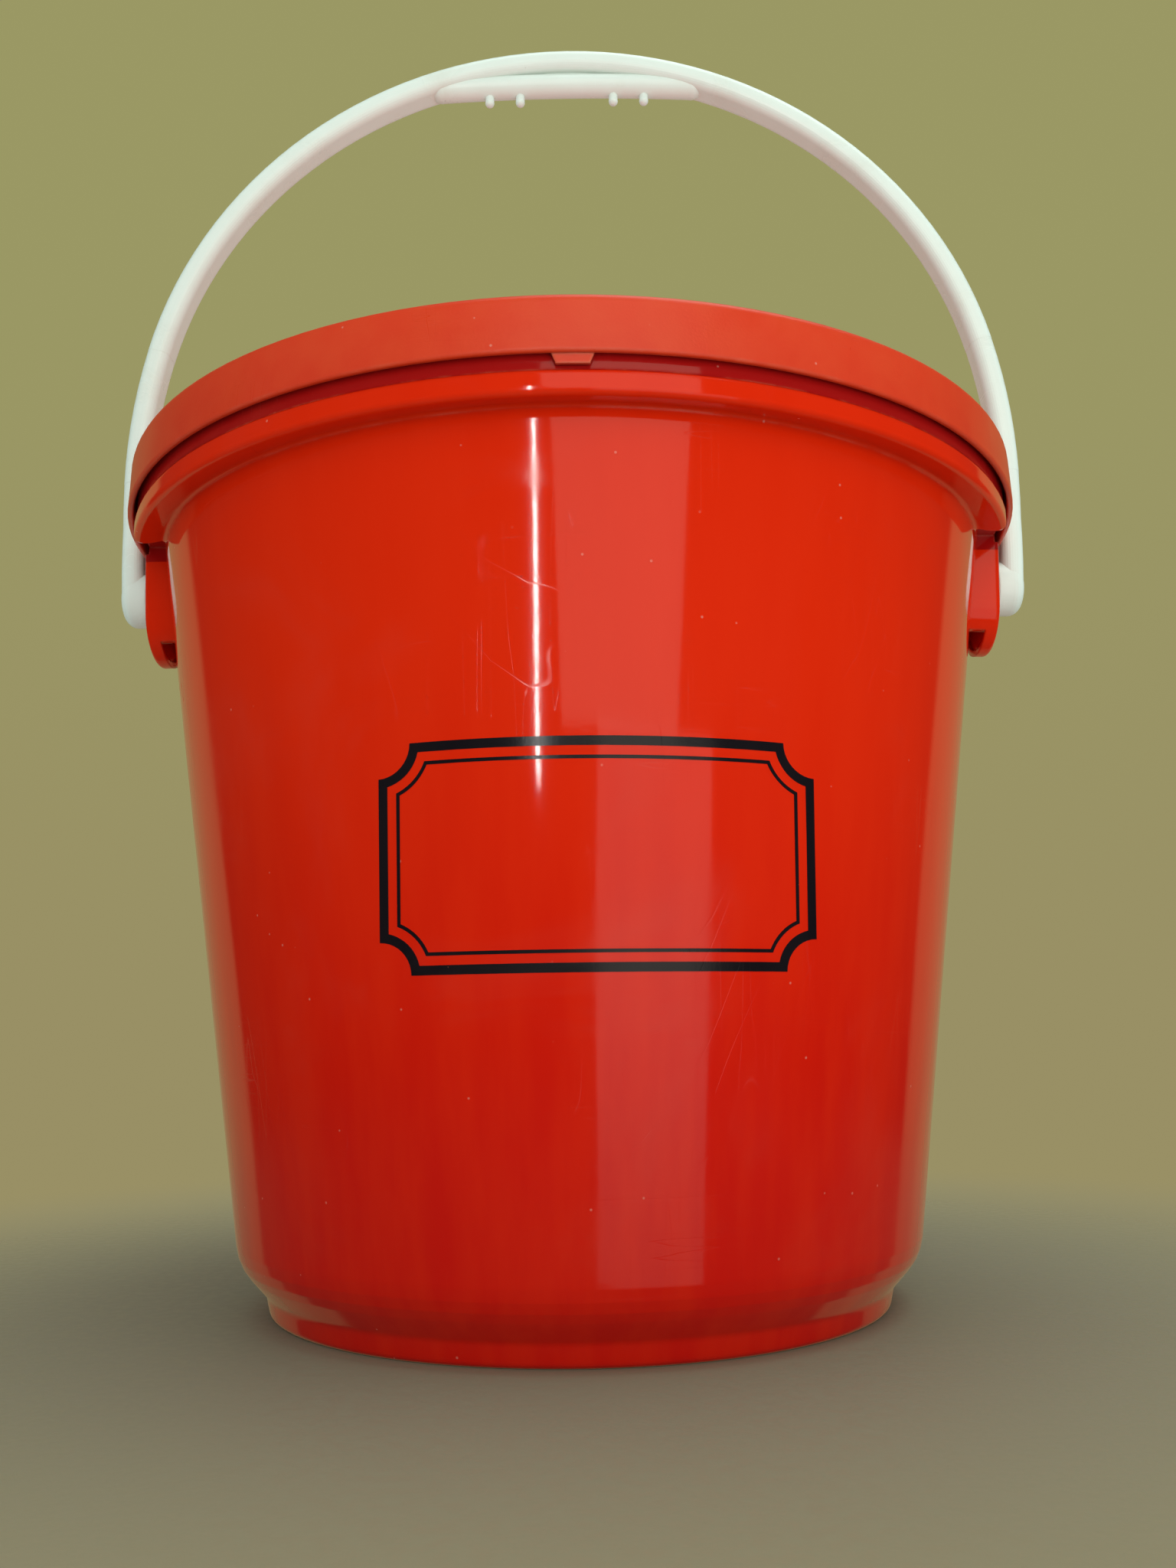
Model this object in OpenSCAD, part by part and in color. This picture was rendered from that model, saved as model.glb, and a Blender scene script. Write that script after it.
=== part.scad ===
// Plastic fire bucket with a snap-on lid and a swinging bail handle.
// The origin is the middle of the foot ring, on the ground. +Z is up and the handle's pivot runs along X.

/* [Bucket] */
// Height of the bucket without its lid
bucket_h = 262.9; // [230:0.1:320]
// Outer radius of the mouth collar
mouth_r = 147; // [144:0.5:160]
// Outer radius of the tapered wall just under the shoulder
wall_top_r = 139.4; // [130:0.2:140]
// Outer radius of the tapered wall at the knuckle
wall_bottom_r = 107.6; // [104:0.2:116]
// Height of the knuckle, where the wall turns in
knuckle_h = 16; // [14:0.5:30]
// Bend radius of the knuckle
knuckle_bend = 16; // [6:0.5:20]
// Outer radius of the foot ring
foot_r = 97.5; // [90:0.5:99]
// Height of the foot ring, up to where the lower cone starts
foot_h = 6.5; // [5:0.5:8]
// Width of the foot ring's flat that stands on the ground
foot_w = 5; // [4:0.5:10]
// Height of the base panel's underside above the ground
base_rise = 3; // [1:0.5:5]
// Thickness of the wall and of the base panel
wall = 2.4; // [1.8:0.1:3.2]

/* [Shoulder ring] */
// Distance from the mouth down to the underside of the shoulder
shoulder_drop = 12.9; // [11:0.1:16]
// Distance from the mouth down to the lower edge of the ring
ring_drop = 24.9; // [23:0.1:30]
// Height of the ring's outer band
ring_band_h = 7; // [4:0.5:7]
// How far the ring's band stands out from the mouth collar
ring_band_out = 0.8; // [0.6:0.1:2]
// Thickness of the ring's underside
ring_t = 2; // [1.6:0.1:2.6]
// How much the ring's underside rises from its outer edge to the wall
ring_rise = 2.5; // [1:0.1:4]
// Width of the gap that the ring leaves round each lug
ring_gap_w = 94; // [70:1:110]
// Rounding of the ring's ends, seen from above
ring_end = 5.5; // [3:0.5:7]
// Least distance between the wall's upper end and the rim's outer face
rim_out = 7; // [6.5:0.1:9]

/* [Lugs] */
// Width of each lug along the rim
lug_w = 31; // [26:0.5:36]
// Distance from the shoulder's underside down to the middle of the lug's round end
lug_drop = 23.2; // [20:0.1:28]
// How far the lug's outer face stands out from the mouth collar, at the shoulder
lug_out = 0.5; // [0.2:0.1:0.6]
// Thickness of the lug's outer plate
lug_plate = 3.5; // [2.5:0.1:4.5]
// Thickness of the lug's side walls
lug_side = 2.2; // [1.6:0.1:3]
// Rounding of the lug's outer edge
lug_round = 1.6; // [0.8:0.1:2.2]
// Angle by which the lug leans in towards its lower end
lug_lean = 2.5; // [0:0.5:4]
// Width of the gap in the lug's lower end, next to the wall
lug_gap_w = 24; // [16:0.5:25]
// Depth of the lug's closed lower end, in front of that gap
lug_lip = 4.5; // [4.2:0.1:8]
// Distance from the shoulder's underside down to the handle's pivot
pivot_drop = 14.5; // [13:0.5:18]

/* [Lid] */
// Thickness of the lid
lid_t = 1.8; // [1.4:0.1:2.4]
// Height of the lid's skirt, its top edge included
skirt_h = 16.2; // [12:0.1:16.4]
// Gap between the mouth collar and the lid's skirt
skirt_gap = 0.5; // [0.4:0.1:1]
// How much further the skirt stands out at its lower edge
skirt_flare = 0.7; // [0.2:0.1:1]
// Bend radius of the lid's top edge
lid_bend = 2.2; // [1:0.2:3]
// Gap between the mouth's inside and the plug below the lid
plug_gap = 0.5; // [0.4:0.1:1]
// Depth of the recessed panel below the lid's rim
panel_drop = 5; // [4:0.5:7]
// Number of catches under the skirt
catch_count = 2; // [2:1:8]
// Width of each catch
catch_w = 11.5; // [8:0.5:20]
// How far each catch reaches below the skirt
catch_h = 2.7; // [1:0.1:2.8]
// Angle by which the catches lie beside the middle of the front and the back
catch_turn = 1; // [0:0.5:20]

/* [Handle] */
// Thickness of the handle, seen from the front
bail_t = 8; // [7:0.5:9]
// Depth of the handle, seen from the side
bail_d = 11.5; // [9:0.5:14]
// Rounding of the handle's section
bail_round = 3.4; // [2:0.2:3.4]
// Height of the handle's middle line above the pivot
bail_rise = 211.4; // [205:0.2:230]
// Radius of the arch on its middle line
arch_r = 154.4; // [146:0.2:155]
// Radius of the arch's flanks on their middle line
flank_r = 214; // [180:1:260]
// How much the legs come in from their widest place down to the pivot
leg_sag = 2.2; // [1:0.1:3]
// Height above the pivot at which the legs begin to widen towards the end pads
flare_h = 30; // [25:1:40]
// How much each stretch of the handle is larger than the one below it, on every side
stretch_step = 0.05; // [0.02:0.01:0.1]
// Radius of the round end pads
pad_r = 9.5; // [8:0.5:11]
// Thickness of the end pads
pad_t = 9.8; // [8.4:0.2:11]
// Bend radius of the end pads' outer edge
pad_bend = 4; // [2:0.5:5]
// Clearance between the end pads and the lugs
pad_gap = 0.6; // [0.4:0.1:1]
// Least clearance between the legs and the lid's skirt
pad_clear = 0.6; // [0.4:0.1:2]

/* [Pivot pegs] */
// Radius of the pegs
peg_r = 4; // [3:0.25:5]
// Radial running clearance between peg and hole
peg_clear = 0.08; // [0.02:0.01:0.1]
// Radius of the peg's collar, between end pad and lug
collar_r = 6.5; // [6.25:0.25:8]
// Width of the free space round the collar
collar_space = 1; // [0.5:0.1:2]
// Side clearance of the collar and of the snap head
side_clear = 0.5; // [0.3:0.1:0.8]
// How far the snap head stands out from the peg
head_out = 0.9; // [0.4:0.1:1.2]
// Length of the snap head
head_len = 2.4; // [1.5:0.1:2.6]

/* [Grip] */
// Distance between the middles of the grip bar's round ends
grip_len = 95; // [70:1:110]
// Radius of the grip bar
grip_r = 4.3; // [4.2:0.1:6]
// Distance from the handle's middle line down to the middle of the grip bar
grip_drop = 8.2; // [7:0.1:8.5]
// Bend radius of the grip bar
grip_bend = 800; // [500:10:1500]
// Radius of the studs below the grip
stud_r = 1.7; // [1.2:0.1:2.2]
// How far the studs reach below the middle of the grip bar
stud_len = 8.5; // [6:0.5:10]
// Distance from the grip's middle to the inner studs
stud_inner = 17.7; // [12:0.1:22]
// Distance from the grip's middle to the outer studs
stud_outer = 29.3; // [25:0.1:34]

/* [Hidden] */
$fn = 96;

// Heights of the shoulder's underside and of the ring
shoulder_z = bucket_h - shoulder_drop;
ring_z = bucket_h - ring_drop;
ring_root_z = ring_z + ring_rise;
ring_top_z = ring_z + ring_band_h;

// The rim stays outside the wall, and a mouth narrower than the wall steps in above the shoulder
rim_r = max(mouth_r, wall_top_r + rim_out);
ring_r = rim_r + ring_band_out;
narrow_mouth = mouth_r < wall_top_r + 2;
collar_z = narrow_mouth ? shoulder_z + 2 * wall : shoulder_z;

// The corners of the bucket's outer line: base, knuckle and the wall's upper end
foot_top = [foot_r + 1.5, foot_h];
knuckle = [wall_bottom_r, knuckle_h];
wall_end = [wall_top_r, shoulder_z];
base_corner = foot_top + (base_rise - foot_h) * (knuckle - foot_top) / (knuckle_h - foot_h);

// The lug's outer face at the shoulder
lug_x = rim_r + lug_out;
lug_z = shoulder_z - lug_drop;
pivot_z = shoulder_z - pivot_drop;

// A round seat is cut square to the pivot, deep enough for the leaning face
seat_r = collar_r + collar_space;
seat_x = lug_x - (pivot_drop + seat_r) * tan(lug_lean);
plate_in_x = lug_x - lug_plate - (pivot_drop + peg_r + head_out) * tan(lug_lean);

// The lid lies on the mouth, and its skirt hangs round the collar
lid_z = bucket_h + lid_t;
skirt_in_r = mouth_r + skirt_gap;
skirt_r = skirt_in_r + lid_t + skirt_flare;
skirt_z = narrow_mouth ? collar_z + 1 : lid_z - skirt_h;
plug_r = mouth_r - wall - plug_gap;

// The end pads lie beside the lugs, and the legs pass the skirt half way down their bend
pad_in = max(lug_x + pad_gap, skirt_r + pad_clear + bail_t - pad_t - leg_sag / 2);
leg_x = pad_in + pad_t - bail_t / 2 + leg_sag;
crown_z = pivot_z + bail_rise;
arch_z = crown_z - arch_r;

// The arch is tangent to its flanks, which bend more tightly than it does if the arch is the wider one
bend_r = leg_x > arch_r ? flank_r : leg_x * leg_x / flank_r;
flank_a = acos((bend_r - leg_x) / (bend_r - arch_r));
flank_z = arch_z - (bend_r - arch_r) * sin(flank_a);

// The bend of the legs below the flanks, and the angle by which their edges part towards the end pads
leg_h = flank_z - pivot_z;
leg_r = (leg_h * leg_h + leg_sag * leg_sag) / (2 * leg_sag);
leg_a = asin(leg_h / leg_r);
flare_step = 0.15;
flare_a = atan((pad_r - bail_d / 2 - flare_step) / flare_h);

// Radius of the wall's outside at the height z
function wall_at(z) =
    wall_bottom_r + (wall_top_r - wall_bottom_r) * (z - knuckle_h) / (shoulder_z - knuckle_h);

// The unit vector from p to q, and the one that points to its right
function ahead(p, q) = (q - p) / norm(q - p);
function right_of(p, q) = [ahead(p, q)[1], -ahead(p, q)[0]];

// The corner b between a and c, moved in by the thickness t
function inner(a, b, c, t) =
    let(m = right_of(a, b), n = right_of(b, c))
    b - t * (m + n) / (1 + m * n);

// An arc of radius r that rounds the corner b between a and c
function corner(a, b, c, r) =
    let(half = acos(ahead(b, a) * ahead(b, c)) / 2,
        start = b + ahead(b, a) * r / tan(half),
        end = b + ahead(b, c) * r / tan(half),
        middle = b + ahead(b, (start + end) / 2) * r / sin(half),
        first = atan2(start[1] - middle[1], start[0] - middle[0]),
        last = atan2(end[1] - middle[1], end[0] - middle[0]),
        turn = last - first + (last - first > 180 ? -360 : last - first < -180 ? 360 : 0),
        steps = max(3, ceil(abs(turn) / 15)))
    [for (i = [0:steps]) middle + r * [cos(first + turn * i / steps), sin(first + turn * i / steps)]];

// An outline from points [x, y, radius]: each corner with a radius is rounded
function rounded(points) =
    let(count = len(points))
    [for (i = [0:count - 1])
        let(p = points[i],
            before = points[(i + count - 1) % count],
            after = points[(i + 1) % count],
            b = [p[0], p[1]])
        each p[2] > 0 ? corner([before[0], before[1]], b, [after[0], after[1]], p[2]) : [b]];

// The solid body of revolution without the ring: base, wall, shoulder and mouth collar
module bucket_outside() {
    step = narrow_mouth ? [[wall_top_r, collar_z, 0], [mouth_r, collar_z, 0]] : [[mouth_r, shoulder_z, 0.8]];
    rotate_extrude()
        polygon(rounded(concat(
            [
                [0, base_rise, 0],
                [foot_r - 2 - foot_w - base_rise, base_rise, 2],
                [foot_r - 2 - foot_w, 0, 0.6],
                [foot_r, 0, 1.8],
                [foot_top[0], foot_top[1], 4],
                [knuckle[0], knuckle[1], knuckle_bend],
                [wall_end[0], wall_end[1], narrow_mouth ? 0 : 1]],
            step,
            [
                [mouth_r, bucket_h, 0.9],
                [0, bucket_h, 0]])));
}

// What rounds one end of the ring, seen from above
module ring_corner() {
    middle_y = ring_gap_w / 2 + ring_end;
    middle_x = sqrt(pow(ring_r - ring_end, 2) - middle_y * middle_y);
    beyond = (ring_r + 3) / (ring_r - ring_end);
    difference() {
        translate([0, 0, ring_root_z - 6])
            linear_extrude(ring_drop)
                polygon([
                    [middle_x, middle_y],
                    [middle_x, ring_gap_w / 2 - 1],
                    [ring_r + 3, ring_gap_w / 2 - 1],
                    [middle_x * beyond, middle_y * beyond]]);
        translate([middle_x, middle_y, ring_root_z - 7])
            cylinder(h = ring_drop + 2, r = ring_end);
    }
}

// The ring runs round the front and the back, and its underside is closed
module ring() {
    foot_z = ring_root_z - 4;
    difference() {
        rotate_extrude()
            polygon(rounded([
                [wall_at(foot_z) - wall / 2, foot_z, 0],
                [wall_at(foot_z) - wall / 4, foot_z, 0],
                [wall_at(ring_root_z) - wall / 4, ring_root_z, 2],
                [ring_r, ring_z, 1.6],
                [ring_r, ring_top_z - 0.8, 1.2],
                [rim_r - 0.05, ring_top_z, 0],
                [rim_r - 0.05, shoulder_z + 1, 0],
                [wall_top_r - wall / 2, shoulder_z + 1, 0]]));
        translate([-ring_r - 1, -ring_gap_w / 2, foot_z - 1])
            cube([2 * ring_r + 2, ring_gap_w, ring_drop]);
        for (x = [0, 1], y = [0, 1])
            mirror([x, 0, 0])
                mirror([0, y, 0])
                    ring_corner();
    }
}

// The ledge inside the ring, which keeps the ring as thin as the rest
module ring_inside() {
    pocket_r = mouth_r - wall - 0.3;
    pocket_z = ring_root_z + ring_t;
    end_y = ring_gap_w / 2 + ring_end * 0.65;
    difference() {
        rotate_extrude()
            polygon(rounded([
                [wall_at(pocket_z) - wall - 2, pocket_z, 0],
                [pocket_r, ring_z + ring_t + 0.4, 1.5],
                [pocket_r, shoulder_z + wall + 1, 0],
                [wall_top_r - wall - 2, shoulder_z + wall + 1, 0]]));
        translate([-ring_r, -end_y, ring_z])
            cube([2 * ring_r, 2 * end_y, ring_drop]);
    }
}

// The space inside the bucket keeps the wall's thickness, then widens into the mouth
module bucket_inside() {
    base_in = inner([0, base_rise], base_corner, knuckle, wall);
    knuckle_in = inner(base_corner, knuckle, wall_end, wall);
    wall_in = wall_end - wall * right_of(knuckle, wall_end);
    rotate_extrude()
        polygon(rounded([
            [0, base_in[1], 0],
            [base_in[0], base_in[1], 4],
            [knuckle_in[0], knuckle_in[1], knuckle_bend - wall],
            [wall_in[0], shoulder_z + wall, 1.5],
            [mouth_r - wall, shoulder_z + wall, 1.5],
            [mouth_r - wall, bucket_h + 1, 0],
            [0, bucket_h + 1, 0]]));
}

// A tongue that hangs from the shoulder: a straight slab with a round lower end
module tongue(inset, from_x, to_x, edge) {
    r = lug_w / 2 - inset;
    translate([0, 0, lug_z]) {
        linear_extrude(lug_drop + 1)
            polygon(rounded([[from_x, -r, 0], [to_x, -r, edge], [to_x, r, edge], [from_x, r, 0]]));
        rotate([0, 90, 0])
            rotate([0, 0, -90])
                rotate_extrude(angle = 180)
                    polygon(rounded([[0, from_x, 0], [r, from_x, 0], [r, to_x, edge], [0, to_x, 0]]));
    }
}

// One lug is hollow behind its outer plate and has a gap in its lower end, next to the wall
module lug() {
    root_x = wall_bottom_r;
    half = lug_w / 2;
    gap_z = lug_z - sqrt(half * half - lug_gap_w * lug_gap_w / 4);
    difference() {
        translate([lug_x, 0, shoulder_z])
            rotate([0, lug_lean, 0])
                translate([-lug_x, 0, -shoulder_z])
                    difference() {
                        tongue(0, root_x, lug_x, lug_round);
                        tongue(lug_side, root_x - 1, lug_x - lug_plate, 0);
                        translate([root_x - 1, -lug_w, gap_z - lug_w])
                            cube([lug_x - lug_lip - root_x + 1, 2 * lug_w, lug_w]);
                    }
        translate([0, 0, skirt_z - 1])
            difference() {
                cylinder(h = skirt_h, r = lug_x + lug_w);
                translate([0, 0, -1])
                    cylinder(h = skirt_h + 2, r = mouth_r - 0.4);
            }
    }
}

// The seat and the hole for one peg, cut square to the pivot
module peg_hole() {
    translate([seat_x, 0, pivot_z])
        rotate([0, 90, 0])
            cylinder(h = lug_x - seat_x + 1, r = seat_r);
    translate([wall_top_r + 0.4, 0, pivot_z])
        rotate([0, 90, 0])
            cylinder(h = lug_x - wall_top_r + 1, r = peg_r + peg_clear);
}

module bucket() {
    color([0.82, 0.13, 0.06])
        difference() {
            union() {
                bucket_outside();
                ring();
                lug();
                mirror([1, 0, 0])
                    lug();
            }
            bucket_inside();
            if (!narrow_mouth)
                ring_inside();
            peg_hole();
            mirror([1, 0, 0])
                peg_hole();
        }
}

// The lid's panel, plug, rim and skirt in one turned profile
module lid_shell() {
    panel_z = lid_z - panel_drop;
    rotate_extrude()
        polygon(rounded([
            [0, panel_z - lid_t, 0],
            [plug_r - 0.5, panel_z - lid_t, 1.2],
            [plug_r, bucket_h, 0.5],
            [skirt_in_r, bucket_h, 0.5],
            [skirt_in_r + skirt_flare, skirt_z, 0.5],
            [skirt_r, skirt_z, 0.7],
            [skirt_r - skirt_flare, lid_z, lid_bend],
            [plug_r - lid_t + 0.3, lid_z, 0.6],
            [plug_r - lid_t - 0.4, panel_z, 2],
            [0, panel_z, 0]]));
}

// A catch hangs behind the skirt's lower edge
module catch() {
    catch_r = skirt_in_r + skirt_flare;
    intersection() {
        translate([0, 0, skirt_z - catch_h])
            difference() {
                cylinder(h = catch_h + 2, r = catch_r + 0.4);
                translate([0, 0, -1])
                    cylinder(h = catch_h + 4, r = catch_r - 0.6);
            }
        rotate([90, 0, 0])
            linear_extrude(catch_r + 5)
                polygon([
                    [-catch_w / 2, skirt_z + 1],
                    [-catch_w / 2 + 1.5, skirt_z - catch_h],
                    [catch_w / 2 - 1.5, skirt_z - catch_h],
                    [catch_w / 2, skirt_z + 1]]);
    }
}

module lid() {
    color([0.85, 0.25, 0.14]) {
        lid_shell();
        for (i = [0:catch_count - 1])
            rotate([0, 0, catch_turn + i * 360 / catch_count])
                catch();
    }
}

// The handle's rounded section at x from the turning axis, larger by extra on every side
module bail_section(x, extra) {
    t = bail_t / 2 + extra;
    d = bail_d / 2 + extra;
    polygon(rounded([
        [x - t, -d, bail_round],
        [x + t, -d, bail_round],
        [x + t, d, bail_round],
        [x - t, d, bail_round]]));
}

// A bend of radius r in the XZ plane round the point [x, z], from the angle start through sweep
module bail_bend(r, x, z, start, sweep, extra) {
    translate([x, 0, z])
        rotate([90, 0, 0])
            rotate([0, 0, start])
                rotate_extrude(angle = sweep, $fn = 240)
                    bail_section(r, extra);
}

// The bend of one leg, turned about its upper end by the angle turn to the front or the back
module leg_bend(turn, extra) {
    start = turn == 0 ? -leg_a - 0.5 : -leg_a;
    sweep = turn == 0 ? leg_a + 0.8 : leg_a * flare_h / leg_h;
    translate([0, 0, pivot_z + flare_h])
        rotate([turn, 0, 0])
            translate([0, 0, -pivot_z - flare_h])
                bail_bend(leg_r, leg_x - leg_r, flank_z, start, sweep, extra);
}

// What widens a leg to the back, down to its end pad; it stays clear of its twin at the front
module leg_flare() {
    difference() {
        leg_bend(flare_a, -flare_step);
        translate([leg_x - leg_sag - bail_t, -bail_d, pivot_z - 1])
            cube([3 * bail_t, bail_d + 1, flare_h + 2]);
    }
}

// One leg with its flank, end pad, collar, peg and snap head
module bail_leg() {
    peg_end = plate_in_x - side_clear - head_len;
    leg_bend(0, 0);
    leg_flare();
    mirror([0, 1, 0])
        leg_flare();
    bail_bend(bend_r, leg_x - bend_r, flank_z, 0, flank_a + 0.3, stretch_step);
    translate([0, 0, pivot_z])
        rotate([0, 90, 0]) {
            rotate_extrude()
                polygon(rounded([
                    [0, pad_in, 0],
                    [pad_r, pad_in, 0.8],
                    [pad_r, pad_in + pad_t, pad_bend],
                    [0, pad_in + pad_t, 0]]));
            translate([0, 0, seat_x + side_clear])
                cylinder(h = pad_in + 1 - seat_x - side_clear, r = collar_r);
            translate([0, 0, peg_end])
                cylinder(h = pad_in + 1 - peg_end, r = peg_r);
            translate([0, 0, peg_end])
                cylinder(h = head_len, r1 = peg_r - 0.6, r2 = peg_r + head_out);
        }
}

// The grip bar lies under the crown, bends a little with it, and carries the studs
module grip() {
    half_a = asin(grip_len / 2 / grip_bend);
    bar_z = crown_z - grip_drop - grip_bend;
    end_z = bar_z + grip_bend * cos(half_a);
    translate([0, 0, bar_z])
        rotate([90, 0, 0])
            rotate([0, 0, 90 - half_a])
                rotate_extrude(angle = 2 * half_a, $fn = 720)
                    translate([grip_bend, 0])
                        circle(grip_r);
    for (side = [-1, 1])
        translate([side * grip_len / 2, 0, end_z])
            sphere(grip_r + stretch_step);
    translate([-grip_len * 0.4, -grip_r / 2, crown_z - grip_drop])
        cube([grip_len * 0.8, grip_r, grip_drop - bail_t / 4]);
    for (x = [-stud_outer, -stud_inner, stud_inner, stud_outer])
        translate([x, 0, crown_z - grip_drop - stud_len + stud_r]) {
            cylinder(h = stud_len, r = stud_r);
            sphere(stud_r + stretch_step);
        }
}

module handle() {
    half_turn = 180;
    color([0.9, 0.92, 0.86]) {
        bail_bend(arch_r, 0, arch_z, flank_a, half_turn - 2 * flank_a, 2 * stretch_step);
        bail_leg();
        mirror([1, 0, 0])
            bail_leg();
        grip();
    }
}

bucket();
lid();
handle();
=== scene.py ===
import math

import bpy
from mathutils import Matrix, Vector


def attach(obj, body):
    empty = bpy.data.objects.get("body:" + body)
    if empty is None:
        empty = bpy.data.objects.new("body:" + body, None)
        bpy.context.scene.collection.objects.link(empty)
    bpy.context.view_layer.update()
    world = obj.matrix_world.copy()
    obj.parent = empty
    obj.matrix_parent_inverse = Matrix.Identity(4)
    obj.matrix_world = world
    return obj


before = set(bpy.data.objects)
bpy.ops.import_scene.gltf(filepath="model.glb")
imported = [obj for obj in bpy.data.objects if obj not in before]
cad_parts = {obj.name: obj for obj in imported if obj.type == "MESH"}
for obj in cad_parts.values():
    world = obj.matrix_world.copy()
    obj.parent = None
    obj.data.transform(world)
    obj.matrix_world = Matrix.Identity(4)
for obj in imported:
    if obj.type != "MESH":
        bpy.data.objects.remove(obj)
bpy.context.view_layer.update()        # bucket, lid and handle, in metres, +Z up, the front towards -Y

# Camera: the place, turn and lens fitted to the picture, whose long side is upright
shot = {
    "place": (0.00565, -0.45466, 0.08335),
    "turnLeft": -0.0025,      # radians, about +Z
    "tiltUp": 0.1832,
    "roll": -0.0138,
    "focalPixels": 1750.0,
    "longSidePixels": 2048.0,
    "sensor": 36.0,           # millimetres
    "clip": (0.01, 60),
}


def aimedCamera(shot):
    data = bpy.data.cameras.new("shotCamera")
    camera = bpy.data.objects.new("shotCamera", data)
    bpy.context.scene.collection.objects.link(camera)
    data.sensor_fit = "AUTO"
    data.sensor_width = shot["sensor"]
    data.lens = shot["focalPixels"] / shot["longSidePixels"] * shot["sensor"]
    data.clip_start, data.clip_end = shot["clip"]
    turn, tilt, roll = shot["turnLeft"], shot["tiltUp"], shot["roll"]
    ahead = Vector((math.sin(turn) * math.cos(tilt), math.cos(turn) * math.cos(tilt), math.sin(tilt)))
    level = Vector((math.cos(turn), -math.sin(turn), 0))
    upward = level.cross(ahead)
    right = math.cos(roll) * level + math.sin(roll) * upward
    top = -math.sin(roll) * level + math.cos(roll) * upward
    axes = Matrix((right, top, -ahead)).transposed()
    camera.matrix_world = Matrix.Translation(shot["place"]) @ axes.to_4x4()
    bpy.context.scene.camera = camera
    return camera


aimedCamera(shot)
print("camera: lens", round(bpy.context.scene.camera.data.lens, 2), "mm")


# Small helpers for the node trees
def addNode(tree, kind, column, row, **settings):
    node = tree.nodes.new(kind)
    node.location = (column * 190, -row * 170)
    for name, value in settings.items():
        setattr(node, name, value)
    return node


def setInputs(node, **values):
    for name, value in values.items():
        node.inputs[name].default_value = value
    return node


def newGroup(name, inputs, outputs):
    tree = bpy.data.node_groups.new(name, "ShaderNodeTree")
    for label, kind, value in inputs:
        socket = tree.interface.new_socket(name=label, in_out="INPUT", socket_type=kind)
        if value is not None:
            socket.default_value = value
    for label, kind in outputs:
        tree.interface.new_socket(name=label, in_out="OUTPUT", socket_type=kind)
    return tree, addNode(tree, "NodeGroupInput", 0, 0), addNode(tree, "NodeGroupOutput", 9, 0)


def useGroup(tree, group, column, row, **values):
    node = addNode(tree, "ShaderNodeGroup", column, row, node_tree=group)
    return setInputs(node, **values)


def mathNode(tree, operation, first, second, column, row, clamp=False):
    node = addNode(tree, "ShaderNodeMath", column, row, operation=operation, use_clamp=clamp)
    for socket, value in zip(node.inputs, (first, second)):
        if isinstance(value, (int, float)):
            socket.default_value = value
        elif value is not None:
            tree.links.new(value, socket)
    return node.outputs[0]


def spread(tree, value, low, high, column, row, outLow=0.0, outHigh=1.0):
    node = addNode(tree, "ShaderNodeMapRange", column, row, interpolation_type="SMOOTHSTEP")
    tree.links.new(value, node.inputs["Value"])
    setInputs(node, **{"From Min": low, "From Max": high, "To Min": outLow, "To Max": outHigh})
    return node.outputs["Result"]


def mixColour(tree, factor, first, second, column, row, blend="MIX"):
    node = addNode(tree, "ShaderNodeMix", column, row, data_type="RGBA", blend_type=blend)
    for socket, value in ((node.inputs[0], factor), (node.inputs[6], first), (node.inputs[7], second)):
        if isinstance(value, (int, float, tuple)):
            socket.default_value = value
        else:
            tree.links.new(value, socket)
    return node.outputs[2]


# Handling marks: hairline scratches, finger smudges and specks of dust, as three masks
markShape = {
    "scratchTurns": ((0.3, 0.5, 0.2), (0.9, -0.4, 1.1), (-0.5, 1.2, 0.4)),
    "scratchStretch": ((1, 1, 26), (30, 1, 1), (1, 22, 1)),
    "scratchStep": (3.1, 1.7, 5.3),          # moves each set of scratches to its own noise
    "scratchNoise": {"Detail": 1.5, "Roughness": 0.4}, "scratchWidth": 0.0035,
    "patchNoise": {"Scale": 23.0, "Detail": 3.0}, "patchBetween": (0.5, 0.64),  # scratches come in patches
    "smudgeNoise": {"Detail": 5.0, "Roughness": 0.62, "Distortion": 0.7}, "smudgeBetween": (0.5, 0.72),
    "speckBetween": (0.05, 0.11), "rareBetween": (0.9, 0.93),
}


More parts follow.
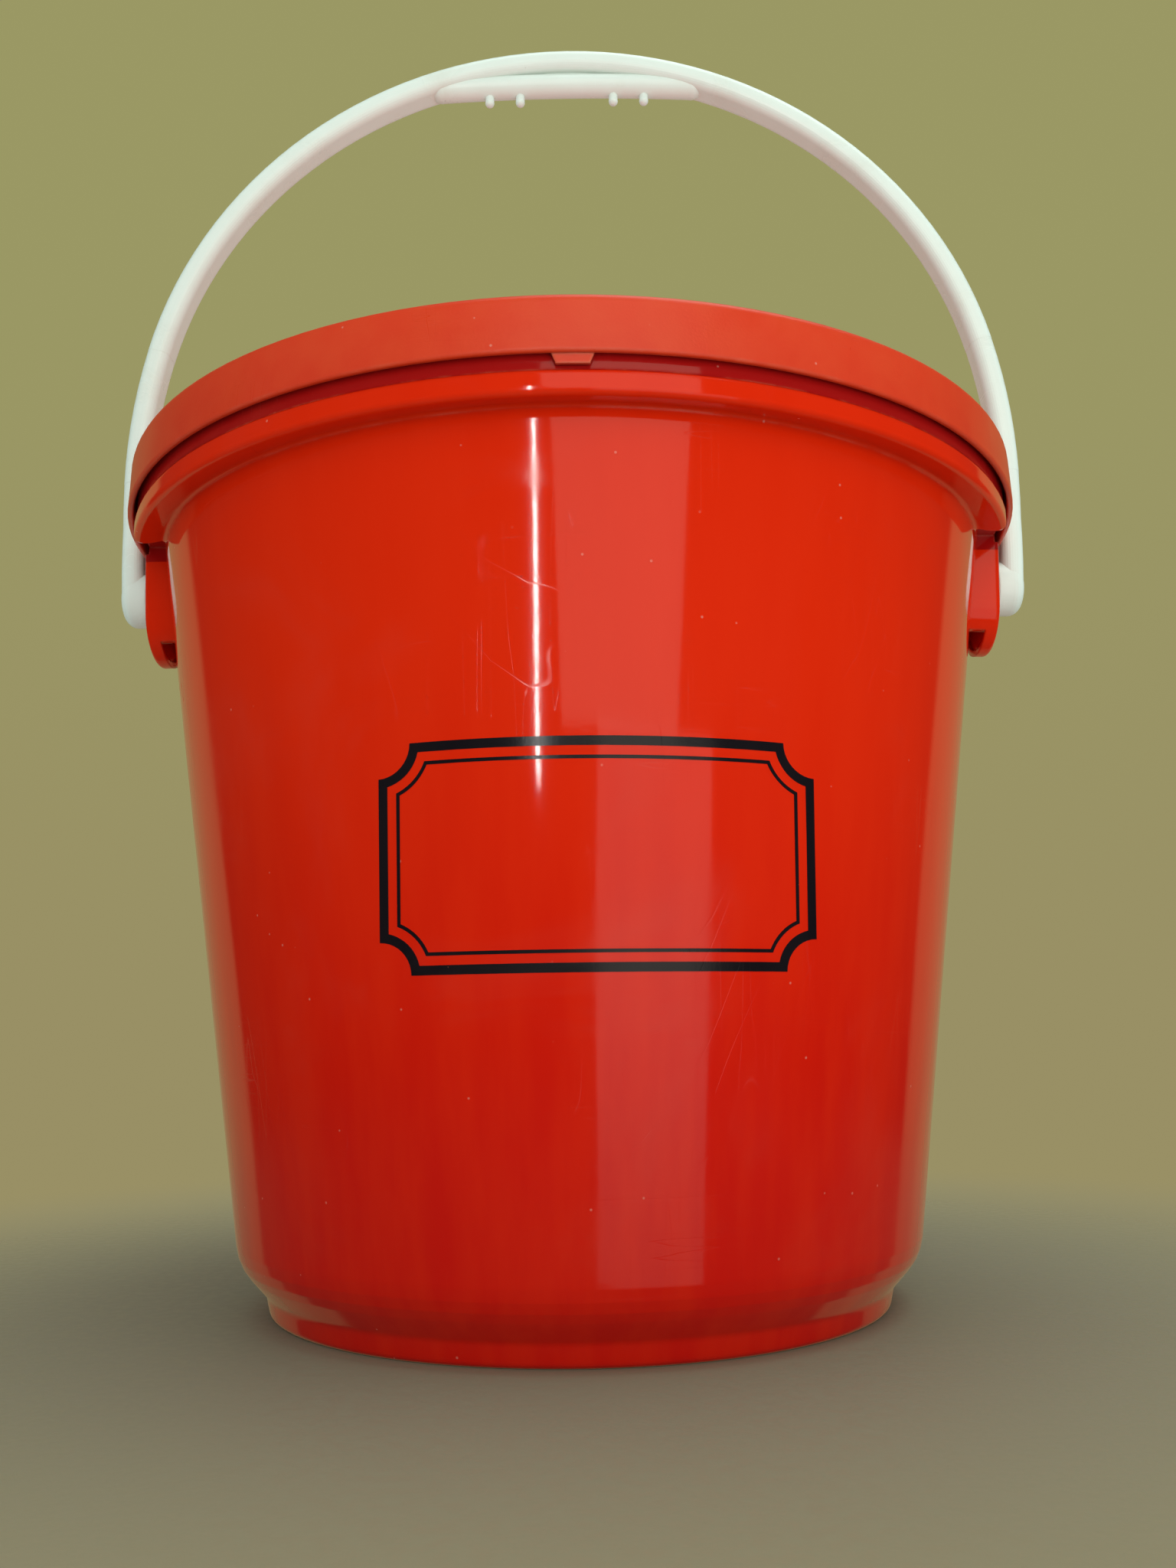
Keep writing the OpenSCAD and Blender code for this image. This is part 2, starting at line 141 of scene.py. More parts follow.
def handlingMarks(shape):
    tree, given, result = newGroup(
        "handlingMarks",
        [("Vector", "NodeSocketVector", None), ("Scratch Scale", "NodeSocketFloat", 9.0),
         ("Smudge Scale", "NodeSocketFloat", 16.0), ("Dust Scale", "NodeSocketFloat", 230.0)],
        [("Scratches", "NodeSocketFloat"), ("Smudges", "NodeSocketFloat"), ("Dust", "NodeSocketFloat")])
    lines = []
    for row, (turn, stretch) in enumerate(zip(shape["scratchTurns"], shape["scratchStretch"])):
        mapping = addNode(tree, "ShaderNodeMapping", 1, row)
        away = tuple(row * step for step in shape["scratchStep"])
        setInputs(mapping, Rotation=turn, Scale=stretch, Location=away)
        tree.links.new(given.outputs["Vector"], mapping.inputs["Vector"])
        noise = addNode(tree, "ShaderNodeTexNoise", 2, row)
        setInputs(noise, **shape["scratchNoise"])
        tree.links.new(mapping.outputs[0], noise.inputs["Vector"])
        tree.links.new(given.outputs["Scratch Scale"], noise.inputs["Scale"])
        offset = mathNode(tree, "SUBTRACT", noise.outputs[0], 0.5, 3, row)
        offset = mathNode(tree, "ABSOLUTE", offset, None, 4, row)
        lines.append(spread(tree, offset, 0.0, shape["scratchWidth"], 5, row, 1.0, 0.0))
    scratches = mathNode(tree, "MAXIMUM", lines[0], lines[1], 6, 0)
    scratches = mathNode(tree, "MAXIMUM", scratches, lines[2], 6, 1)
    patches = addNode(tree, "ShaderNodeTexNoise", 2, 3)
    setInputs(patches, **shape["patchNoise"])
    tree.links.new(given.outputs["Vector"], patches.inputs["Vector"])
    kept = spread(tree, patches.outputs[0], *shape["patchBetween"], 5, 3)
    tree.links.new(mathNode(tree, "MULTIPLY", scratches, kept, 7, 0), result.inputs["Scratches"])
    smudge = addNode(tree, "ShaderNodeTexNoise", 2, 4)
    setInputs(smudge, **shape["smudgeNoise"])
    tree.links.new(given.outputs["Vector"], smudge.inputs["Vector"])
    tree.links.new(given.outputs["Smudge Scale"], smudge.inputs["Scale"])
    smudges = spread(tree, smudge.outputs[0], *shape["smudgeBetween"], 5, 4)
    tree.links.new(smudges, result.inputs["Smudges"])
    cells = addNode(tree, "ShaderNodeTexVoronoi", 2, 5)
    tree.links.new(given.outputs["Vector"], cells.inputs["Vector"])
    tree.links.new(given.outputs["Dust Scale"], cells.inputs["Scale"])
    specks = spread(tree, cells.outputs["Distance"], *shape["speckBetween"], 3, 5, 1.0, 0.0)
    chance = addNode(tree, "ShaderNodeSeparateColor", 3, 6)
    tree.links.new(cells.outputs["Color"], chance.inputs[0])
    rare = spread(tree, chance.outputs[0], *shape["rareBetween"], 4, 6)
    tree.links.new(mathNode(tree, "MULTIPLY", specks, rare, 7, 5), result.inputs["Dust"])
    return tree


# Worn edges, and dirt with painted shade in creases found by ambient occlusion, from the shape itself, and
# the normal of softened corners
wearShape = {
    "cornerRadius": 0.0011, "samples": 6,
    "bentBetween": (0.90, 0.995),            # likeness of the softened normal to the true one
    "breakupNoise": {"Detail": 4.0, "Roughness": 0.7}, "breakupBetween": (0.42, 0.66),
    "openBetween": (0.35, 0.8),
}


def edgesAndCreases(shape):
    tree, given, result = newGroup(
        "edgesAndCreases",
        [("Vector", "NodeSocketVector", None), ("Breakup Scale", "NodeSocketFloat", 90.0),
         ("Crease Size", "NodeSocketFloat", 0.006)],
        [("Edges", "NodeSocketFloat"), ("Creases", "NodeSocketFloat"), ("Soft Normal", "NodeSocketVector")])
    rounded = addNode(tree, "ShaderNodeBevel", 1, 0, samples=shape["samples"])
    setInputs(rounded, Radius=shape["cornerRadius"])
    geometry = addNode(tree, "ShaderNodeNewGeometry", 1, 1)
    likeness = addNode(tree, "ShaderNodeVectorMath", 2, 0, operation="DOT_PRODUCT")
    tree.links.new(rounded.outputs[0], likeness.inputs[0])
    tree.links.new(geometry.outputs["Normal"], likeness.inputs[1])
    bent = spread(tree, likeness.outputs["Value"], *shape["bentBetween"], 3, 0, 1.0, 0.0)
    breakup = addNode(tree, "ShaderNodeTexNoise", 1, 2)
    setInputs(breakup, **shape["breakupNoise"])
    tree.links.new(given.outputs["Vector"], breakup.inputs["Vector"])
    tree.links.new(given.outputs["Breakup Scale"], breakup.inputs["Scale"])
    rough = spread(tree, breakup.outputs[0], *shape["breakupBetween"], 3, 2)
    hidden = addNode(tree, "ShaderNodeAmbientOcclusion", 1, 3, samples=shape["samples"])
    tree.links.new(given.outputs["Crease Size"], hidden.inputs["Distance"])
    creased = spread(tree, hidden.outputs["AO"], *shape["openBetween"], 3, 3, 1.0, 0.0)
    outside = mathNode(tree, "SUBTRACT", 1.0, creased, 4, 3, clamp=True)
    edges = mathNode(tree, "MULTIPLY", mathNode(tree, "MULTIPLY", bent, outside, 5, 0), rough, 6, 0)
    tree.links.new(rounded.outputs[0], result.inputs["Soft Normal"])
    tree.links.new(edges, result.inputs["Edges"])
    tree.links.new(creased, result.inputs["Creases"])
    return tree


# Moulded skin: streaks where the plastic flowed, slow waves and orange peel
skinShape = {
    "streakNoise": {"Scale": 95.0, "Detail": 4.0, "Roughness": 0.55}, "streakBetween": (0.3, 0.7),
    "waveNoise": {"Detail": 1.0, "Roughness": 0.4},
    "peelNoise": {"Detail": 2.0, "Roughness": 0.5},
}


def mouldedSkin(shape):
    tree, given, result = newGroup(
        "mouldedSkin",
        [("Vector", "NodeSocketVector", None), ("Along", "NodeSocketVector", (1.0, 1.0, 0.06)),
         ("Wave Scale", "NodeSocketFloat", 26.0), ("Peel Scale", "NodeSocketFloat", 900.0),
         ("Peel Share", "NodeSocketFloat", 0.05)],
        [("Streaks", "NodeSocketFloat"), ("Height", "NodeSocketFloat")])
    stretched = addNode(tree, "ShaderNodeVectorMath", 1, 0, operation="MULTIPLY")
    tree.links.new(given.outputs["Vector"], stretched.inputs[0])
    tree.links.new(given.outputs["Along"], stretched.inputs[1])
    streaks = addNode(tree, "ShaderNodeTexNoise", 2, 0)
    setInputs(streaks, **shape["streakNoise"])
    tree.links.new(stretched.outputs[0], streaks.inputs["Vector"])
    flow = spread(tree, streaks.outputs[0], *shape["streakBetween"], 3, 0)
    tree.links.new(flow, result.inputs["Streaks"])
    waves = addNode(tree, "ShaderNodeTexNoise", 2, 2)
    setInputs(waves, **shape["waveNoise"])
    tree.links.new(stretched.outputs[0], waves.inputs["Vector"])
    tree.links.new(given.outputs["Wave Scale"], waves.inputs["Scale"])
    peel = addNode(tree, "ShaderNodeTexNoise", 2, 3)
    setInputs(peel, **shape["peelNoise"])
    tree.links.new(given.outputs["Vector"], peel.inputs["Vector"])
    tree.links.new(given.outputs["Peel Scale"], peel.inputs["Scale"])
    fine = mathNode(tree, "MULTIPLY", peel.outputs[0], given.outputs["Peel Share"], 3, 3)
    tree.links.new(mathNode(tree, "ADD", waves.outputs[0], fine, 4, 2), result.inputs["Height"])
    return tree


marksGroup = handlingMarks(markShape)
edgesGroup = edgesAndCreases(wearShape)
skinGroup = mouldedSkin(skinShape)
print("node groups:", len(bpy.data.node_groups))


scratchStrength = 0.6


def plasticMaterial(name, look):
    material = bpy.data.materials.new(name)
    material.use_nodes = True
    tree = material.node_tree
    shader = tree.nodes["Principled BSDF"]
    shader.location = (1900, 0)
    tree.nodes["Material Output"].location = (2200, 0)
    spot = addNode(tree, "ShaderNodeTexCoord", 0, 0).outputs["Object"]
    marks = useGroup(tree, marksGroup, 1, 0, **look["marks"])
    sizes = {"Breakup Scale": look["edgeBreakup"], "Crease Size": look["creaseSize"]}
    edges = useGroup(tree, edgesGroup, 1, 2, **sizes)
    skin = useGroup(tree, skinGroup, 1, 3, **look["skin"])
    for node in (marks, edges, skin):
        tree.links.new(spot, node.inputs["Vector"])
    height = addNode(tree, "ShaderNodeSeparateXYZ", 1, 5)
    tree.links.new(spot, height.inputs[0])
    # Painted shade: each part's colour darkens towards its bottom
    rise = spread(tree, height.outputs["Z"], *look["fadeBetween"], 2, 5)
    colour = mixColour(tree, rise, look["lowShadeColour"], look["colour"], 3, 0)
    streaked = mathNode(tree, "MULTIPLY", skin.outputs["Streaks"], look["streakAmount"], 3, 2)
    colour = mixColour(tree, streaked, colour, look["streakColour"], 4, 0)
    if "slotShadeFrom" in look:            # painted shade: a dark band on the collar, where it shows through the slot under the lid's edge
        above = spread(tree, height.outputs["Z"], *look["slotShadeFrom"], 2, 6)
        below = spread(tree, height.outputs["Z"], *look["slotShadeTo"], 2, 7, 1.0, 0.0)
        line = mathNode(tree, "MULTIPLY", above, below, 3, 6)
        slotShade = mathNode(tree, "MULTIPLY", line, look["slotShadeAmount"], 3, 5)
        colour = mixColour(tree, slotShade, colour, look["slotShadeColour"], 5, 1)
    # Dirt and painted shade: creases found by ambient occlusion are darkened
    dirtAndShade = mathNode(tree, "MULTIPLY", edges.outputs["Creases"], look["creaseDirtAndShadeAmount"], 4, 2)
    colour = mixColour(tree, dirtAndShade, colour, look["creaseDirtAndShadeColour"], 5, 0)
    worn = mathNode(tree, "MULTIPLY", edges.outputs["Edges"], look["edgeAmount"], 5, 2)
    colour = mixColour(tree, worn, colour, look["edgeColour"], 6, 0)
    hazy = mathNode(tree, "MULTIPLY", marks.outputs["Smudges"], look["smudgeTint"], 6, 2)
    colour = mixColour(tree, hazy, colour, look["smudgeColour"], 7, 0)
    dusty = mathNode(tree, "MULTIPLY", marks.outputs["Dust"], look["dustAmount"], 7, 2)
    colour = mixColour(tree, dusty, colour, look["dustColour"], 8, 0)
    tree.links.new(colour, shader.inputs["Base Color"])
    rough = mathNode(tree, "MULTIPLY_ADD", marks.outputs["Smudges"], look["smudgeRough"], 6, 4)
    rough.node.inputs[2].default_value = look["roughness"]
    roughened = ((marks.outputs["Scratches"], "scratchRough"), (edges.outputs["Edges"], "edgeRough"),
                 (edges.outputs["Creases"], "creaseRough"), (marks.outputs["Dust"], "dustRough"))
    for column, (mask, amount) in enumerate(roughened, 7):
        more = mathNode(tree, "MULTIPLY_ADD", mask, look[amount], column, 4)
        tree.links.new(rough, more.node.inputs[2])
        rough = more
    tree.links.new(rough, shader.inputs["Roughness"])
    bump = addNode(tree, "ShaderNodeBump", 8, 6)
    setInputs(bump, Strength=1.0, Distance=look["waveDepth"])
    tree.links.new(skin.outputs["Height"], bump.inputs["Height"])
    if look["softEdges"]:              # corners catch the light as if rounded
        tree.links.new(edges.outputs["Soft Normal"], bump.inputs["Normal"])
    scored = addNode(tree, "ShaderNodeBump", 9, 6, invert=True)
    setInputs(scored, Strength=scratchStrength, Distance=look["scratchDepth"])
    tree.links.new(marks.outputs["Scratches"], scored.inputs["Height"])
    tree.links.new(bump.outputs[0], scored.inputs["Normal"])
    tree.links.new(scored.outputs[0], shader.inputs["Normal"])
    setInputs(shader, **look["shader"])
    return material


def giveMaterial(node, material):
    if node.material_slots:
        for place in node.material_slots:
            place.material = material
    else:
        node.data.materials.append(material)


# Bucket: high-gloss red, with long flow streaks down the wall
bucketLook = {
    "colour": (0.740, 0.021, 0.002, 1),
    # painted shade: the wall darkens towards the foot
    "lowShadeColour": (0.610, 0.005, 0.002, 1),
    "fadeBetween": (0.02, 0.20),
    "streakColour": (0.780, 0.028, 0.004, 1), "streakAmount": 0.30,
    # dirt and painted shade in creases
    "creaseDirtAndShadeColour": (0.300, 0.006, 0.006, 1), "creaseDirtAndShadeAmount": 0.30,
    "creaseRough": 0.12, "creaseSize": 0.004,
    # painted shade in the slot under the lid's edge
    "slotShadeColour": (0.330, 0.004, 0.006, 1), "slotShadeAmount": 0.90,
    "slotShadeFrom": (0.2444, 0.2450), "slotShadeTo": (0.2488, 0.2530),
    "edgeColour": (0.780, 0.160, 0.085, 1), "edgeAmount": 0.55,
    "edgeRough": 0.20, "edgeBreakup": 90.0,
    "smudgeColour": (0.680, 0.060, 0.030, 1), "smudgeTint": 0.10, "smudgeRough": 0.08,
    "dustColour": (0.800, 0.400, 0.300, 1), "dustAmount": 0.30, "dustRough": 0.30,
    "softEdges": True,
    "roughness": 0.062, "scratchRough": 0.16, "scratchDepth": 0.00002, "waveDepth": 0.00035,
    "marks": {"Scratch Scale": 7.0, "Smudge Scale": 15.0, "Dust Scale": 230.0},
    "skin": {"Along": (1.0, 1.0, 0.10), "Wave Scale": 34.0, "Peel Scale": 700.0, "Peel Share": 0.012},
    "shader": {"IOR": 1.49, "Specular IOR Level": 0.5},
}
giveMaterial(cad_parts["bucket"], plasticMaterial("bucketGlossRed", bucketLook))

# Lid: a duller, more orange red with a fine spark-eroded grain
lidLook = {
    "colour": (0.740, 0.042, 0.006, 1),
    "lowShadeColour": (0.700, 0.036, 0.005, 1),
    "fadeBetween": (0.248, 0.262),
    "streakColour": (0.760, 0.070, 0.014, 1), "streakAmount": 0.35,
    "creaseDirtAndShadeColour": (0.220, 0.014, 0.007, 1), "creaseDirtAndShadeAmount": 0.5,
    "creaseRough": 0.10, "creaseSize": 0.006,
    "edgeColour": (0.800, 0.220, 0.120, 1), "edgeAmount": 0.60,
    "edgeRough": 0.12, "edgeBreakup": 70.0,
    "smudgeColour": (0.600, 0.040, 0.014, 1), "smudgeTint": 0.20, "smudgeRough": -0.10,
    "dustColour": (0.820, 0.480, 0.380, 1), "dustAmount": 0.30, "dustRough": 0.20,
    "softEdges": True,
    "roughness": 0.36, "scratchRough": -0.10, "scratchDepth": 0.00003, "waveDepth": 0.00022,
    "marks": {"Scratch Scale": 8.0, "Smudge Scale": 22.0, "Dust Scale": 230.0},
    "skin": {"Along": (1.0, 1.0, 1.0), "Wave Scale": 40.0, "Peel Scale": 1500.0, "Peel Share": 0.18},
    "shader": {"IOR": 1.49, "Specular IOR Level": 0.5},
}
giveMaterial(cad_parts["lid"], plasticMaterial("lidSatinRed", lidLook))

# Handle: ivory, softly glossy, greyed by hands round the grip
handleLook = {
    "colour": (0.850, 0.972, 0.925, 1),
    "lowShadeColour": (0.840, 0.958, 0.910, 1),
    "fadeBetween": (0.24, 0.42),
    "streakColour": (0.790, 0.890, 0.830, 1), "streakAmount": 0.22,
    "creaseDirtAndShadeColour": (0.330, 0.310, 0.220, 1), "creaseDirtAndShadeAmount": 0.30,
    "creaseRough": 0.20, "creaseSize": 0.005,
    "edgeColour": (0.860, 0.880, 0.820, 1), "edgeAmount": 0.30,
    "edgeRough": 0.15, "edgeBreakup": 120.0,
    "smudgeColour": (0.620, 0.620, 0.500, 1), "smudgeTint": 0.22, "smudgeRough": 0.12,
    "dustColour": (0.400, 0.380, 0.300, 1), "dustAmount": 0.35, "dustRough": 0.20,
    "softEdges": False,
    "roughness": 0.24, "scratchRough": 0.15, "scratchDepth": 0.00003, "waveDepth": 0.00025,
    "marks": {"Scratch Scale": 11.0, "Smudge Scale": 26.0, "Dust Scale": 260.0},
    "skin": {"Along": (1.0, 1.0, 1.0), "Wave Scale": 60.0, "Peel Scale": 900.0, "Peel Share": 0.05},
    "shader": {"IOR": 1.49, "Specular IOR Level": 0.45},
}
giveMaterial(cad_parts["handle"], plasticMaterial("handleIvory", handleLook))
print("moulded plastics: bucket, lid, handle")

# Printed panel: plain lining with hollow corners, where the real bucket carries its printing
panelPrint = {
    "centre": (0.0075, 0.1273),        # X and Z of its middle on the front wall
    "size": (0.1134, 0.0585),
    "cornerRadius": 0.0085, "cornerSteps": 10,
    "bandWidth": 0.0024, "lineGap": 0.0024, "lineWidth": 0.0009,
    "before": -0.16, "cutEvery": 0.003,      # drawn flat in front of the wall, and cut to bend round it
    "wallRadii": (0.1076, 0.1394), "wallHeights": (0.016, 0.250),   # the wall's line, as in the CAD
    "wallSides": 720,
    "proud": 0.00004, "thickness": 0.00016, "sharpFrom": 40,
}


def onlyThis(obj):
    for other in bpy.context.selected_objects:
        other.select_set(False)
    obj.select_set(True)
    bpy.context.view_layer.objects.active = obj


def hollowCornered(look, inset):
    halfX, halfZ = look["size"][0] / 2, look["size"][1] / 2
    radius = look["cornerRadius"] + inset        # every corner arc is struck from the outer corner
    lean = math.asin(inset / radius)
    quarter = math.pi / 2
    points = []
    for signX, signZ in ((1, 1), (-1, 1), (-1, -1), (1, -1)):
        arc = []
        for step in range(look["cornerSteps"] + 1):
            angle = lean + (quarter - 2 * lean) * step / look["cornerSteps"]
            x, z = halfX - radius * math.sin(angle), halfZ - radius * math.cos(angle)
            arc.append((signX * x, signZ * z))
        points += arc if signX == signZ else arc[::-1]
    return points


def liningPanel(look):
    middleX, middleZ = look["centre"]
    outline = bpy.data.curves.new("printed_panel", "CURVE")
    outline.dimensions, outline.fill_mode = "2D", "BOTH"
    inset = 0.0
    for step in (0.0, look["bandWidth"], look["lineGap"], look["lineWidth"]):
        inset += step
        points = hollowCornered(look, inset)
        spline = outline.splines.new("POLY")
        spline.points.add(len(points) - 1)
        spline.use_cyclic_u = True
        for point, (x, z) in zip(spline.points, points):
            point.co = (x, z, 0, 1)
    panel = bpy.data.objects.new("printed_panel", outline)
    bpy.context.scene.collection.objects.link(panel)
    onlyThis(panel)
    bpy.ops.object.convert(target="MESH")
    panel = bpy.context.object
    panel.location = (middleX, look["before"], middleZ)
    panel.rotation_euler = (math.pi / 2, 0, 0)
    bpy.ops.object.transform_apply(location=True, rotation=True, scale=True)
    bpy.ops.object.mode_set(mode="EDIT")
    bpy.ops.mesh.select_all(action="SELECT")
    if panel.data.polygons[0].normal.y > 0:
        bpy.ops.mesh.flip_normals()
    reach = int(look["size"][0] / 2 / look["cutEvery"]) + 1
    for step in range(-reach, reach + 1):
        bpy.ops.mesh.select_all(action="SELECT")
        bpy.ops.mesh.bisect(plane_co=(middleX + step * look["cutEvery"], 0, 0), plane_no=(1, 0, 0))
    bpy.ops.object.mode_set(mode="OBJECT")
    return panel


def wrapOnWall(piece, look):
    lowR, highR = look["wallRadii"]
    lowZ, highZ = look["wallHeights"]
    bpy.ops.mesh.primitive_cone_add(
        vertices=look["wallSides"], depth=highZ - lowZ, location=(0, 0, (lowZ + highZ) / 2),
        radius1=lowR + look["proud"], radius2=highR + look["proud"])
    wall = bpy.context.object          # a fine copy of the wall, only to lay the print on
    onlyThis(wall)
    bpy.ops.object.transform_apply(location=True)
    laid = piece.modifiers.new("laid", "SHRINKWRAP")
    laid.target, laid.wrap_method = wall, "PROJECT"
    laid.use_project_x = laid.use_project_z = laid.use_negative_direction = False
    laid.use_project_y = laid.use_positive_direction = True
    ink = piece.modifiers.new("ink", "SOLIDIFY")
    ink.thickness, ink.offset = look["thickness"], -1
    onlyThis(piece)
    for name in ("laid", "ink"):
        bpy.ops.object.modifier_apply(modifier=name)
    bpy.ops.object.shade_smooth_by_angle(angle=math.radians(look["sharpFrom"]))
    bpy.data.objects.remove(wall)


panel = liningPanel(panelPrint)
wrapOnWall(panel, panelPrint)
inkLook = {
    "colour": (0.006, 0.005, 0.008, 1),
    "lowShadeColour": (0.005, 0.004, 0.007, 1),
    "fadeBetween": (0.09, 0.16),
    "streakColour": (0.010, 0.008, 0.011, 1), "streakAmount": 0.5,
    "creaseDirtAndShadeColour": (0.020, 0.010, 0.010, 1), "creaseDirtAndShadeAmount": 0.0,      # ink has no creases or worn edges
    "creaseRough": 0.0, "creaseSize": 0.002,
    "edgeColour": (0.120, 0.020, 0.012, 1), "edgeAmount": 0.0,
    "edgeRough": 0.0, "edgeBreakup": 600.0,
    "smudgeColour": (0.030, 0.022, 0.024, 1), "smudgeTint": 0.20, "smudgeRough": 0.10,
    "dustColour": (0.350, 0.060, 0.030, 1), "dustAmount": 0.6, "dustRough": 0.20,
    "softEdges": False,
    "roughness": 0.16, "scratchRough": 0.18, "scratchDepth": 0.00002, "waveDepth": 0.00035,
    "marks": {"Scratch Scale": 7.0, "Smudge Scale": 15.0, "Dust Scale": 420.0},
    "skin": {"Along": (1.0, 1.0, 0.10), "Wave Scale": 34.0, "Peel Scale": 1600.0, "Peel Share": 0.03},
    "shader": {"IOR": 1.49, "Specular IOR Level": 0.5},
}
giveMaterial(panel, plasticMaterial("printBlack", inkLook))
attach(panel, "bucket")
print("printed panel:", len(panel.data.polygons), "faces")

# Floor and backdrop: plain, pale and warm, with the floor fading into the backdrop far off
stageLook = {
    "floorColour": (0.282, 0.276, 0.198, 1),
    "mottle": (0.260, 0.253, 0.178, 1),
    "backdropLow": (0.318, 0.277, 0.130, 1), "backdropHigh": (0.325, 0.315, 0.128, 1),
    "roomDark": (0.050, 0.032, 0.022, 1), "roomFrom": 0.52, "roomTo": 0.57,
    "riseBetween": (-0.05, 0.55),
    "fadeFrom": 0.12, "fadeTo": 0.45,        # the floor fades out, in metres from the axis
    "glossyFloor": 0.45,                     # the share of the floor that gloss sees, as in a dim room
    "floorRadius": 3.0, "floorSides": 128,
    "mottleNoise": {"Scale": 3.0, "Detail": 6.0, "Roughness": 0.6},
    "grainNoise": {"Scale": 260.0, "Detail": 3.0},
    "grainBetween": (0.3, 0.7), "grainRough": (0.55, 0.75),
    "grainBump": {"Strength": 0.25, "Distance": 0.0002},
    "ambient": (0.92, 1.0, 0.95, 1), "ambientStrength": 0.58,
}


def floorMaterial(look):
    material = bpy.data.materials.new("floorPaint")
    material.use_nodes = True
    tree = material.node_tree
    shader = tree.nodes["Principled BSDF"]
    spot = addNode(tree, "ShaderNodeTexCoord", 0, 0).outputs["Object"]
    noise = addNode(tree, "ShaderNodeTexNoise", 1, 0)
    setInputs(noise, **look["mottleNoise"])
    grain = addNode(tree, "ShaderNodeTexNoise", 1, 1)
    setInputs(grain, **look["grainNoise"])
    for texture in (noise, grain):
        tree.links.new(spot, texture.inputs["Vector"])
    colour = mixColour(tree, noise.outputs[0], look["floorColour"], look["mottle"], 2, 0)
    tree.links.new(colour, shader.inputs["Base Color"])
    rough = spread(tree, grain.outputs[0], *look["grainBetween"], 2, 1, *look["grainRough"])
    tree.links.new(rough, shader.inputs["Roughness"])
    bump = addNode(tree, "ShaderNodeBump", 3, 1)
    setInputs(bump, **look["grainBump"])
    tree.links.new(grain.outputs[0], bump.inputs["Height"])
    tree.links.new(bump.outputs[0], shader.inputs["Normal"])
    distance = addNode(tree, "ShaderNodeVectorMath", 1, 2, operation="LENGTH")
    tree.links.new(spot, distance.inputs[0])
    fade = spread(tree, distance.outputs["Value"], look["fadeFrom"], look["fadeTo"], 2, 2, 1.0, 0.0)
    path = addNode(tree, "ShaderNodeLightPath", 1, 3)
    share = mathNode(tree, "MULTIPLY_ADD", path.outputs["Is Glossy Ray"], look["glossyFloor"] - 1, 2, 3)
    share.node.inputs[2].default_value = 1.0
    tree.links.new(mathNode(tree, "MULTIPLY", fade, share, 3, 2), shader.inputs["Alpha"])
    setInputs(shader, **{"Specular IOR Level": 0.25})
    return material


bpy.ops.mesh.primitive_circle_add(
    vertices=stageLook["floorSides"], radius=stageLook["floorRadius"], fill_type="NGON", location=(0, 0, 0))
floor = bpy.context.object
floor.name = floor.data.name = "studio_floor"
floor.data.materials.append(floorMaterial(stageLook))


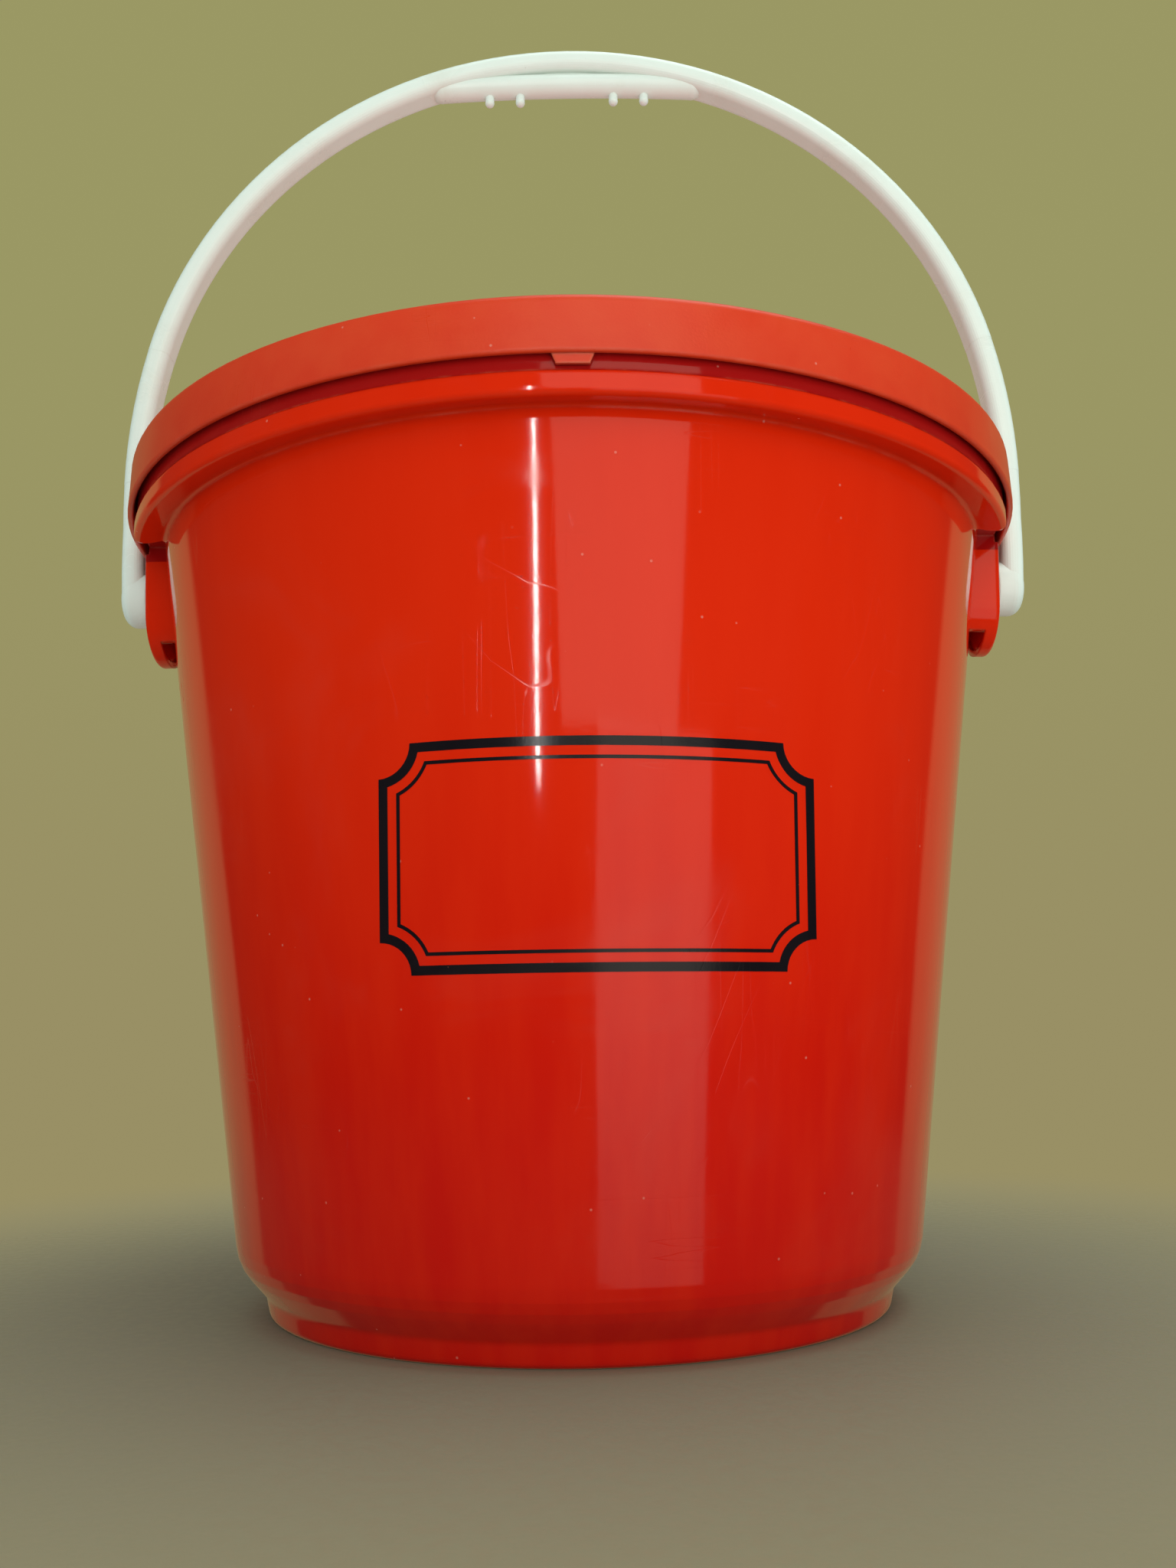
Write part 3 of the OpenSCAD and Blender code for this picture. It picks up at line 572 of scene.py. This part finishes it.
def studioWorld(look):
    world = bpy.data.worlds.new("studioWorld")
    world.use_nodes = True
    tree = world.node_tree
    output = tree.nodes["World Output"]
    ambient = tree.nodes["Background"]
    setInputs(ambient, Color=look["ambient"], Strength=look["ambientStrength"])
    seen = addNode(tree, "ShaderNodeBackground", 3, 1)
    toward = addNode(tree, "ShaderNodeTexCoord", 0, 1).outputs["Generated"]
    height = addNode(tree, "ShaderNodeSeparateXYZ", 1, 1)
    tree.links.new(toward, height.inputs[0])
    rise = spread(tree, height.outputs["Z"], *look["riseBetween"], 2, 1)
    colour = mixColour(tree, rise, look["backdropLow"], look["backdropHigh"], 2, 2)
    path = addNode(tree, "ShaderNodeLightPath", 0, 3)
    beyond = spread(tree, height.outputs["Y"], look["roomFrom"], look["roomTo"], 2, 3)
    pale = mathNode(tree, "MAXIMUM", beyond, path.outputs["Is Camera Ray"], 3, 3)
    colour = mixColour(tree, pale, look["roomDark"], colour, 3, 2)    # only gloss sees the dim room
    tree.links.new(colour, seen.inputs["Color"])
    shown = mathNode(tree, "MAXIMUM", path.outputs["Is Camera Ray"], path.outputs["Is Glossy Ray"], 1, 3)
    shown = mathNode(tree, "MAXIMUM", shown, path.outputs["Is Transmission Ray"], 2, 3)
    mix = addNode(tree, "ShaderNodeMixShader", 4, 0)
    tree.links.new(shown, mix.inputs[0])
    tree.links.new(ambient.outputs[0], mix.inputs[1])
    tree.links.new(seen.outputs[0], mix.inputs[2])
    tree.links.new(mix.outputs[0], output.inputs["Surface"])
    bpy.context.scene.world = world


studioWorld(stageLook)

# Soft lights: sizes in metres, brightness as seen in a reflection, all turned to the bucket
lightPlan = {
    "tallWindow": {"place": (0.33, -1.50, 0.70), "size": (0.95, 1.30), "bright": 1.0,
                   "colour": (1.0, 0.90, 0.72)},
    "lowWindow": {"place": (0.60, -1.50, -0.29), "size": (0.94, 0.80), "bright": 0.8,
                  "colour": (1.0, 0.92, 0.80)},
    "doorGap": {"place": (-0.215, -1.50, 0.42), "size": (0.007, 0.80), "bright": 110.0,
                "colour": (1.0, 0.99, 0.95)},
    "overhead": {"place": (0.38, -0.20, 1.90), "size": (1.30, 1.30), "bright": 1.85,
                 "colour": (0.90, 1.0, 0.93)},
    "lowFill": {"place": (0.42, -0.70, 0.02), "size": (0.90, 0.60), "bright": 0.80,
                "colour": (1.0, 0.99, 0.96), "unseen": True},
}
lightAim = (0, 0, 0.16)        # the middle of the wall


def softLight(name, plan):
    data = bpy.data.lights.new(name, "AREA")
    data.shape = "RECTANGLE"
    data.size, data.size_y = plan["size"]
    data.energy = plan["bright"] * math.pi * plan["size"][0] * plan["size"][1]
    data.color = plan["colour"]
    lamp = bpy.data.objects.new(name, data)
    bpy.context.scene.collection.objects.link(lamp)
    lamp.location = plan["place"]
    toBucket = Vector(lightAim) - Vector(plan["place"])
    lamp.rotation_euler = toBucket.to_track_quat("-Z", "Y").to_euler()
    lamp.visible_camera = False
    lamp.visible_glossy = not plan.get("unseen", False)


for name, plan in lightPlan.items():
    softLight(name, plan)
bpy.context.scene.view_settings.view_transform = "Standard"
print("stage: floor, backdrop and", len(lightPlan), "soft lights")
